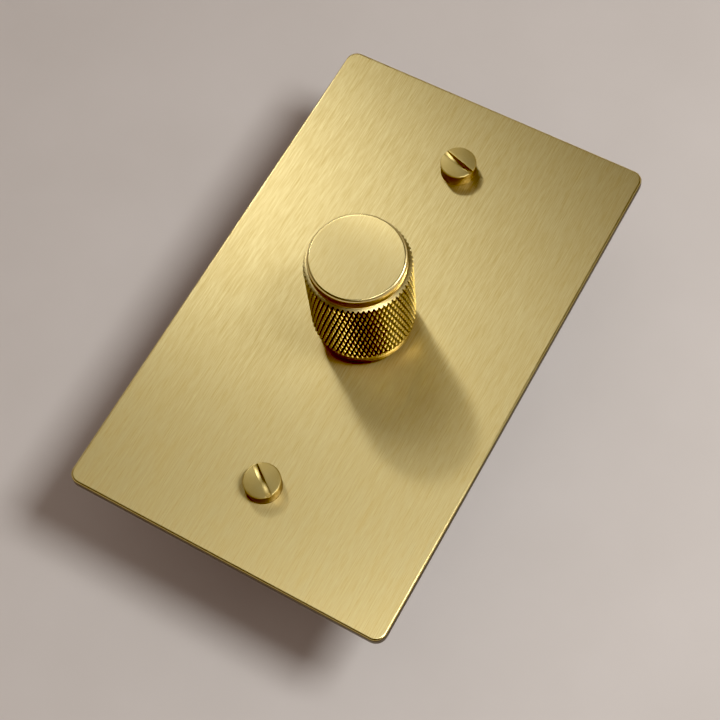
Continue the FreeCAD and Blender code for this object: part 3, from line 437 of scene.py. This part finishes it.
def knob_piece(turned, knurled, brushed):
    """The knob in one piece: turned ring, knurl, ledge, cap and the recess that clears the nut."""
    points, faces = [], []
    low_rim, high_rim = knurl_faces(points, faces, 1)
    angles = [math.atan2(points[k][1], points[k][0]) for k in low_rim]
    groove = KNOB_BOTTOM + GROOVE_HEIGHT
    foot = (RING_RADIUS - RING_CHAMFER, KNOB_BOTTOM)
    outside = [
        foot,
        (RING_RADIUS, KNOB_BOTTOM + RING_CHAMFER),
        (RING_RADIUS, groove),
        (RING_RADIUS - GROOVE_DEPTH, groove),
        (RING_RADIUS - GROOVE_DEPTH, groove + GROOVE_WIDTH),
        (RING_RADIUS, groove + GROOVE_WIDTH),
        (RING_RADIUS, KNURL_BOTTOM),
    ]
    inside = [
        (BORE_RADIUS, BORE_TOP),
        (BORE_RADIUS, BORE_BOTTOM),
        (RECESS_RADIUS, BORE_BOTTOM),
        (RECESS_RADIUS, KNOB_BOTTOM),
        foot,
    ]
    inner_rings = turned_shell(points, faces, inside, angles, 0)
    faces.append((tuple(reversed(inner_rings[0])), 0))
    outer_rings = turned_shell(points, faces, outside, angles, 0)
    skin(faces, outer_rings[-1], low_rim, 0)
    for k in high_rim:
        x, y, z = points[k]
        points[k] = (x, y, z + LEDGE_SLOPE * (KNURL_PEAK * MM - math.hypot(x, y)))
    ledge_top = KNURL_TOP + LEDGE_SLOPE * (KNURL_PEAK - CAP_RADIUS)
    cap = [
        (CAP_RADIUS, ledge_top),
        (CAP_RADIUS - RELIEF_DEPTH, ledge_top),
        (CAP_RADIUS - RELIEF_DEPTH, ledge_top + RELIEF_WIDTH),
        (CAP_RADIUS, ledge_top + RELIEF_WIDTH + RELIEF_RUN_OUT),
    ]
    cap += rounded_edge(CAP_RADIUS, KNOB_TOP, CAP_ROUND)
    cap_rings = turned_shell(points, faces, cap, angles, 0)
    skin(faces, high_rim, cap_rings[0], 0)
    faces.append((tuple(cap_rings[-1]), 2))
    return new_piece("knob_fine", points, faces, [turned, knurled, brushed])


def screw_thread(points, faces, radius, root_radius, pitch, low, high, finish, steps=28):
    """A V thread as one strip wound up the shank, fading out at both ends."""
    count = int((high - low) / pitch * steps)
    first = len(points)
    for i in range(count + 1):
        angle = 2 * math.pi * i / steps
        z = low + pitch * i / steps
        fade = min(1.0, (z - low) / (1.2 * pitch), (high - z) / (1.2 * pitch))
        crest = root_radius + (radius - root_radius) * max(0.0, fade)
        for r, up in ((crest, 0.0), (root_radius - 0.01, pitch / 2)):
            points.append((r * math.cos(angle) * MM, r * math.sin(angle) * MM, (z + up) * MM))
    for i in range(count):
        crest, root = first + 2 * i, first + 2 * i + 1
        faces.append(((crest, crest + 2, root + 2, root), finish))
        above = crest + 2 * steps
        if i + steps < count:
            faces.append(((root, root + 2, above + 2, above), finish))


def settled_mesh(piece):
    """The piece's mesh with its modifiers worked in."""
    graph = bpy.context.evaluated_depsgraph_get()
    mesh = bpy.data.meshes.new_from_object(piece.evaluated_get(graph))
    piece.modifiers.clear()
    piece.data = mesh


screw_low, screw_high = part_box("fixing_screws")
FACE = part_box("face_plate")[1].z / MM
SCREW_TOP = screw_high.z / MM
SCREW_TIP = screw_low.z / MM
HEAD_RADIUS = screw_high.x / MM
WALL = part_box("mounting_strap")[0].z / MM
HEAD_ROUND = 0.3
SLOT_WIDTH = 1.1
SLOT_DEPTH = 1.5
SLOT_CUTTER_RADIUS = 6.8
FIXING_RADIUS = 1.75
FIXING_ROOT_RADIUS = 1.4
FIXING_PITCH = 0.6
FIXING_POINT_TAPER = 0.35
FIXING_POINT_LENGTH = 0.5
THREAD_START = 0.2
BROKEN_EDGE = 0.07


def fixing_screw(name, place, slot_angle, head_finish):
    """Cheese head slotted by a round cutter, on a thin neck and a 3.5 mm thread."""
    angles = even_angles(96)
    points, faces = [], []
    profile = [(FIXING_ROOT_RADIUS, FACE), (HEAD_RADIUS, FACE)]
    profile += rounded_edge(HEAD_RADIUS, SCREW_TOP, HEAD_ROUND)
    rings = turned_shell(points, faces, profile, angles, 0)
    faces.append((tuple(rings[-1]), 0))
    faces.append((tuple(reversed(rings[0])), 0))
    head = new_piece(name, points, faces, [head_finish])

    cut_points, cut_faces = [], []
    middle = SCREW_TOP - SLOT_DEPTH + SLOT_CUTTER_RADIUS
    discs = []
    for y in (-SLOT_WIDTH / 2, SLOT_WIDTH / 2):
        first = len(cut_points)
        for angle in even_angles(160):
            cut_points.append((SLOT_CUTTER_RADIUS * math.cos(angle) * MM, y * MM,
                               (middle + SLOT_CUTTER_RADIUS * math.sin(angle)) * MM))
        discs.append(list(range(first, len(cut_points))))
    skin(cut_faces, discs[1], discs[0], 0)
    cut_faces.append((tuple(discs[0]), 0))
    cut_faces.append((tuple(reversed(discs[1])), 0))
    cutter = new_piece("slot_cutter", cut_points, cut_faces, [head_finish])

    slot = head.modifiers.new("slot", "BOOLEAN")
    slot.operation = "DIFFERENCE"
    slot.object = cutter
    slot.solver = "EXACT"
    burr = head.modifiers.new("broken edge", "BEVEL")
    burr.width = BROKEN_EDGE * MM
    burr.segments = 2
    burr.limit_method = "ANGLE"
    burr.angle_limit = math.radians(50)
    settled_mesh(head)
    bpy.data.objects.remove(cutter)
    head_points = [tuple(v.co) for v in head.data.vertices]
    head_faces = [(tuple(p.vertices), 0) for p in head.data.polygons]
    bpy.data.objects.remove(head)

    first = len(head_points)
    points, faces = [], []
    core = [
        (FIXING_ROOT_RADIUS - FIXING_POINT_TAPER, SCREW_TIP),
        (FIXING_ROOT_RADIUS, SCREW_TIP + FIXING_POINT_LENGTH),
        (FIXING_ROOT_RADIUS, FACE),
    ]
    rings = turned_shell(points, faces, core, even_angles(48), 0)
    faces.append((tuple(reversed(rings[0])), 0))
    screw_thread(points, faces, FIXING_RADIUS, FIXING_ROOT_RADIUS, FIXING_PITCH,
                 SCREW_TIP + THREAD_START, WALL, 0)
    head_points += points
    head_faces += [(tuple(k + first for k in corners), finish) for corners, finish in faces]
    screw = new_piece(name, head_points, head_faces, [head_finish], place)
    screw.rotation_euler.z = math.radians(slot_angle)
    return screw


spring_low, spring_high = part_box("plunger_spring")
SPRING_WIRE = 0.35
SPRING_TURNS = 5
SPRING_RADIUS = spring_high.x / MM - SPRING_WIRE / 2
SPRING_HEIGHT = (spring_high.z - spring_low.z) / MM


def wound_spring(name, finish, steps=24, sides=10):
    """Round wire wound in one helix, closed at both ends."""
    points, faces, loops = [], [], []
    for i in range(SPRING_TURNS * steps + 1):
        turn = 2 * math.pi * i / steps
        middle = (spring_low.z / MM + SPRING_WIRE / 2
                  + (SPRING_HEIGHT - SPRING_WIRE) * i / (SPRING_TURNS * steps))
        loops.append(list(range(len(points), len(points) + sides)))
        for side in even_angles(sides):
            out = SPRING_RADIUS + SPRING_WIRE / 2 * math.cos(side)
            points.append((out * math.cos(turn) * MM, out * math.sin(turn) * MM,
                           (middle - SPRING_WIRE / 2 * math.sin(side)) * MM))
    for near, far in zip(loops, loops[1:]):
        skin(faces, near, far, 0)
    faces.append((tuple(reversed(loops[0])), 0))
    faces.append((tuple(loops[-1]), 0))
    return new_piece(name, points, faces, [finish])


# Finishes of this switch

# The lacquered sheet shows long soft streaks, and the cap finer ones
plate_brass = brushed_brass("brushed_brass_sheet", width_mm=0.12, length_mm=3.2, spread=0.21,
                            relief_share=0.17)
cap_brass = brushed_brass("brushed_brass_cap", width_mm=0.12, length_mm=3.0, spread=0.24,
                          relief_share=0.12)
# The knob is brighter than the screws, whose satin faces are browner. The bush is as the lathe left it.
# The side colours darken the walls as painted shade, a little on the knob and more on the screw heads
knob_brass = turned_brass("turned_brass", pitch_mm=0.12, rough_low=0.24, rough_high=0.34,
                          side="c6b07a")
knurl_brass = knurled_brass("knurled_brass", KNURL_VALLEY * MM, KNURL_PEAK * MM)
screw_brass = turned_brass("satin_turned_brass", pitch_mm=0.1, rough_low=0.38, rough_high=0.48,
                           side=BRASS_FILM_AND_WALL_SHADE, low=BRASS_WORN, high=BRASS_WORN_HIGH)
bush_brass = turned_brass("bright_turned_brass", pitch_mm=0.1, rough_low=0.2, rough_high=0.28,
                          side=BRASS_MID)

FINISHES = {
    "brushed_brass_plate": plate_brass,
    "turned_brass_knob": knob_brass,
    "brass_screws": screw_brass,
    "turned_brass_bush": bush_brass,
    # Dull and dark, pitted with open cells
    "gasket_rubber": foam_rubber("closed_cell_rubber_foam", "353632", "4e504b"),
    # Cool grey, half bright and a little cloudy
    "zinc_plated_steel": worked_metal(
        "zinc_plated_steel", "a9abae", "d2d4d6", rough_low=0.24, rough_high=0.42,
        grain_mm=(0.5, 0.5, 0.5), relief_mm=0.02),
    # Dark and matt, with a fine even grain
    "moulded_housing": moulded_plastic(
        "charcoal_polycarbonate", "5b615f", "666c6a", rough=0.45, grain_mm=0.2, relief_mm=0.03),
    # Milky and waxy
    "white_nylon": moulded_plastic(
        "white_nylon", "dedcd2", "efede6", rough=0.42, grain_mm=0.2, relief_mm=0.01, ior=1.53),
    # Pale, with fine rings round the shaft
    "turned_aluminium": worked_metal(
        "turned_aluminium", "b9babd", "dcdddf", rough_low=0.22, rough_high=0.34,
        grain_mm=(3.0, 3.0, 0.12), relief_mm=0.01),
    # Dark blue-grey from the tempering heat
    "spring_steel": worked_metal(
        "blued_spring_steel", "3f4757", "6a6f7c", rough_low=0.28, rough_high=0.4,
        grain_mm=(0.3, 0.3, 0.3), relief_mm=0.01),
    # Bright and silvery, with a faint spangle
    "tinned_steel": worked_metal(
        "tinned_steel", "b7b9b8", "dadbd9", rough_low=0.18, rough_high=0.34,
        grain_mm=(0.8, 0.8, 0.8), relief_mm=0.015),
    # Brown resin over paper, half glossy
    "phenolic_board": woven_laminate(
        "phenolic_paper", "5a3518", "7d4f27", thread_mm=0.5, rough=0.4, coat=0.2),
    # Black and matt, like fine soot
    "carbon_track": moulded_plastic(
        "printed_carbon", "121212", "242424", rough=0.55, grain_mm=0.08, relief_mm=0.01),
    # White and bright
    "silvered_contact": worked_metal(
        "silver_plate", "cfcfca", "ecece8", rough_low=0.18, rough_high=0.3,
        grain_mm=(0.4, 0.4, 0.4), relief_mm=0.01),
    # Black with a soft sheen
    "black_nylon": moulded_plastic(
        "black_nylon", "3a3b38", "4a4b48", rough=0.45, grain_mm=0.2, relief_mm=0.012, ior=1.53),
    # Reddish gold, streaked along the strip
    "phosphor_bronze": worked_metal(
        "rolled_phosphor_bronze", "9b6a3f", "c89464", rough_low=0.24, rough_high=0.36,
        grain_mm=(0.15, 3.0, 0.15), relief_mm=0.01),
    # Green gloss over a faint weave
    "green_laminate": woven_laminate(
        "solder_resist_on_glass_cloth", "0c4a2a", "17683d", thread_mm=0.45, rough=0.3, coat=0.6),
    # Grey-brown and matt, pressed smooth
    "fish_paper": moulded_plastic(
        "vulcanised_fibre_paper", "4c463d", "665e52", rough=0.75, grain_mm=0.3, relief_mm=0.03),
    # Yellow paint, slightly lumpy, with a thin shine
    "powdered_iron_core": moulded_plastic(
        "painted_iron_powder_ring", "b99c28", "d8bd45", rough=0.4, grain_mm=0.5, relief_mm=0.03,
        coat=0.3),
    # Red-gold under clear enamel
    "enamelled_copper": worked_metal(
        "enamelled_copper_wire", "8e3f1e", "c4683a", rough_low=0.16, rough_high=0.26,
        grain_mm=(0.6, 0.6, 0.6), relief_mm=0.008),
    # Near black, finely grained
    "moulded_epoxy": moulded_plastic(
        "moulded_epoxy", "161618", "242427", rough=0.38, grain_mm=0.1, relief_mm=0.012, ior=1.55),
    # Grey, dull and rubbery
    "silicone_pad": moulded_plastic(
        "filled_silicone_rubber", "8c8f93", "a3a6aa", rough=0.7, grain_mm=0.25, relief_mm=0.02,
        ior=1.43),
    # Clear blue with a light gloss
    "blue_capacitor": moulded_plastic(
        "blue_polyester_box", "21468c", "2c58a6", rough=0.35, grain_mm=0.3, relief_mm=0.01,
        coat=0.2),
    # Pale blue lacquer, thick and glossy
    "resistor_lacquer": moulded_plastic(
        "dipped_lacquer", "5f93a3", "86b4bf", rough=0.3, grain_mm=0.8, relief_mm=0.03, coat=0.6),
    # Orange-red and glassy
    "diac_glass": moulded_plastic(
        "red_oxide_glass", "8f3a20", "b5573a", rough=0.14, grain_mm=0.8, relief_mm=0.005,
        ior=1.52, coat=0.8),
    # Light grey paint on a drawn can
    "fuse_case": worked_metal(
        "painted_fuse_can", "b9b9b2", "d9d9d2", rough_low=0.3, rough_high=0.42,
        grain_mm=(0.6, 0.6, 0.6), relief_mm=0.01, metallic=0.0),
    # Warm off-white, dull with glass fibre
    "terminal_moulding": moulded_plastic(
        "glass_filled_polyester", "c6c2b4", "dad7cb", rough=0.5, grain_mm=0.25, relief_mm=0.02),
    # Warm silver, bright
    "nickel_plated_brass": worked_metal(
        "nickel_plated_brass", "b3ada0", "d6d0c2", rough_low=0.2, rough_high=0.34,
        grain_mm=(0.3, 0.3, 0.3), relief_mm=0.012),
}

knob = knob_piece(knob_brass, knurl_brass, cap_brass)
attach(knob, "control")
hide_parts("knob")

screws_middle = (screw_high.y + screw_low.y) / 2
screws_reach = (screw_high.y - screw_low.y) / 2 - HEAD_RADIUS * MM
for name, side, slot_angle in (("fixing_screw_top", 1, -16.0), ("fixing_screw_bottom", -1, -37.0)):
    place = (0.0, screws_middle + side * screws_reach, 0.0)
    screw = fixing_screw(name, place, slot_angle, screw_brass)
    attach(screw, "base")
    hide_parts("fixing_screws")

# The switch's spring is drawn again as a wound wire with a mesh of its own
spring = wound_spring("plunger_spring_fine", FINISHES["spring_steel"])
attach(spring, "base")
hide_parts("plunger_spring")
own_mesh(spring)

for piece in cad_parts.values():
    for held in piece.material_slots:
        held.material = FINISHES[held.material.name.split(".")[0]]


# Floor, lights and camera

FLOOR_HALF_WIDTH = 4.0


def plain_floor():
    """A wide pale sheet, matt, with faint clouds of tone."""
    def steps(tree):
        spot = add_node(tree, "TexCoord")
        cloud = add_node(tree, "TexNoise", {"Scale": 1 / (30 * MM), "Detail": 4.0},
                         {"Vector": spot.outputs["Object"]})
        colour = add_node(tree, "Mix", {"data_type": "RGBA", 6: linear("cdc7c0"), 7: linear("d6d0ca")},
                          {0: cloud.outputs["Fac"]})
        return {"Roughness": 0.9, "Specular IOR Level": 0.2}, {"Base Color": colour.outputs[2]}
    half = FLOOR_HALF_WIDTH
    points = [(-half, -half, 0), (half, -half, 0), (half, half, 0), (-half, half, 0)]
    return new_piece("floor", points, [((0, 1, 2, 3), 0)], [finish_material("plain_floor", steps)])


floor = plain_floor()


def light_panel(name, place, size, power, colour="ffffff"):
    """A square light panel at a place in metres, facing the middle of the plate."""
    data = bpy.data.lights.new(name, "AREA")
    data.size = size
    data.energy = power
    data.color = linear(colour)[:3]
    lamp = bpy.data.objects.new(name, data)
    middle = Vector((0.0, 0.0, FACE * MM))
    lamp.location = Vector(place)
    lamp.rotation_mode = "QUATERNION"
    lamp.rotation_quaternion = (middle - lamp.location).to_track_quat("-Z", "Y")
    bpy.context.scene.collection.objects.link(lamp)
    return lamp


def only_lights(lamp, receivers):
    """The lamp lights these objects and nothing else."""
    group = bpy.data.collections.new(lamp.name + "_lights")
    for receiver in receivers:
        group.objects.link(receiver)
    lamp.light_linking.receiver_collection = group


object_pieces = [o for o in bpy.data.objects if o.type == "MESH" and o != floor]
plate_pieces = [o for o in object_pieces if o != knob]

# Panels with flags: each lights either the plate and what stands on it, or the knob.
# Name, place in metres, width in metres, watts and the lit pieces.
PANEL_PLACES = (
    ("key_light", (-0.884, 0.619, 1.0735), 0.12, 2.13, plate_pieces),
    ("left_panel", (-0.45, 0.3, 0.7315), 0.15, 0.149, plate_pieces),
    ("back_panel", (-0.45, 0.45, 0.7315), 0.15, 0.163, plate_pieces),
    ("near_panel", (-0.3, 0.3, 0.7315), 0.15, 0.07, plate_pieces),
    ("right_panel", (0.3, 0.0, 0.7315), 0.15, 1.89, plate_pieces),
    ("far_panel", (0.42, 0.15, 0.7315), 0.15, 0.72, plate_pieces),
    ("knob_key", (-0.884, 0.619, 1.0735), 0.12, 0.346, [knob]),
    ("knob_left_panel", (-0.6, 0.3, 0.7315), 0.15, 0.431, [knob]),
    ("knob_back_panel", (-0.45, 0.6, 0.7315), 0.15, 1.08, [knob]),
    ("knob_near_panel", (-0.3, 0.15, 0.7315), 0.15, 0.129, [knob]),
    ("knob_right_panel", (0.15, 0.0, 0.7315), 0.15, 0.804, [knob]),
    ("knob_far_panel", (0.6, 0.3, 0.7315), 0.15, 1.72, [knob]),
    ("knob_corner_panel", (0.6, 0.6, 0.7315), 0.15, 4.2, [knob]),
)
for name, place, size, power, receivers in PANEL_PLACES:
    only_lights(light_panel(name, place, size, power), receivers)

# Name, place, width, watts and colour of the lights that reach the floor alone
FLOOR_PLACES = (
    ("floor_light", (0.225, 0.045, 0.45), 0.135, 1.62, "fdfdff"),
    ("floor_dome", (0.0, 0.0, 3.0), 7.8, 55.8, "fff0e6"),
)
for name, place, size, power, colour in FLOOR_PLACES:
    only_lights(light_panel(name, place, size, power, colour), [floor])

# The studio's walls are pale and lit up to a third of the way to the ceiling, which stays dark
WALL_LIGHT = 0.85
WALL_FADES_FROM = 0.25
WALL_FADES_TO = 0.52
world = bpy.data.worlds.new("studio_air")
world.use_nodes = True
air = world.node_tree
air.nodes.clear()
direction = add_node(air, "TexCoord")
height = add_node(air, "SeparateXYZ", {}, {"Vector": direction.outputs["Generated"]})
wall = add_node(air, "MapRange",
                {"interpolation_type": "SMOOTHSTEP", "From Min": WALL_FADES_FROM,
                 "From Max": WALL_FADES_TO, "To Min": WALL_LIGHT, "To Max": 0.0},
                {"Value": height.outputs["Z"]})
walls = add_node(air, "Background", {"Color": linear("f4ece2")}, {"Strength": wall.outputs["Result"]})
add_node(air, "OutputWorld", {}, {"Surface": walls.outputs["Background"]})
bpy.context.scene.world = world

# Shadows are deep and warm: less red than green and blue is held back
SHADOW_LEVEL = (0.024, 0.036, 0.034)
shown = bpy.context.scene.view_settings
shown.view_transform = "Standard"
shown.use_curve_mapping = True
shown.curve_mapping.black_level = SHADOW_LEVEL
shown.curve_mapping.update()

# The camera looks down on the plate from its lower right, in metres and degrees
CAMERA_PLACE = (0.089040, -0.123059, 0.333015)
CAMERA_TARGET = (0.003433, -0.008310, 0.0315)
CAMERA_ROLL = -8.0972
CAMERA_LENS = 80.585
camera_data = bpy.data.cameras.new("camera")
camera_data.sensor_width = 36.0
camera_data.lens = CAMERA_LENS
camera_data.clip_start = 0.01
camera = bpy.data.objects.new("camera", camera_data)
camera.location = CAMERA_PLACE
camera.rotation_mode = "QUATERNION"
facing = (Vector(CAMERA_TARGET) - camera.location).to_track_quat("-Z", "Y")
camera.rotation_quaternion = facing @ Quaternion((0, 0, 1), math.radians(CAMERA_ROLL))
bpy.context.scene.collection.objects.link(camera)
bpy.context.scene.camera = camera
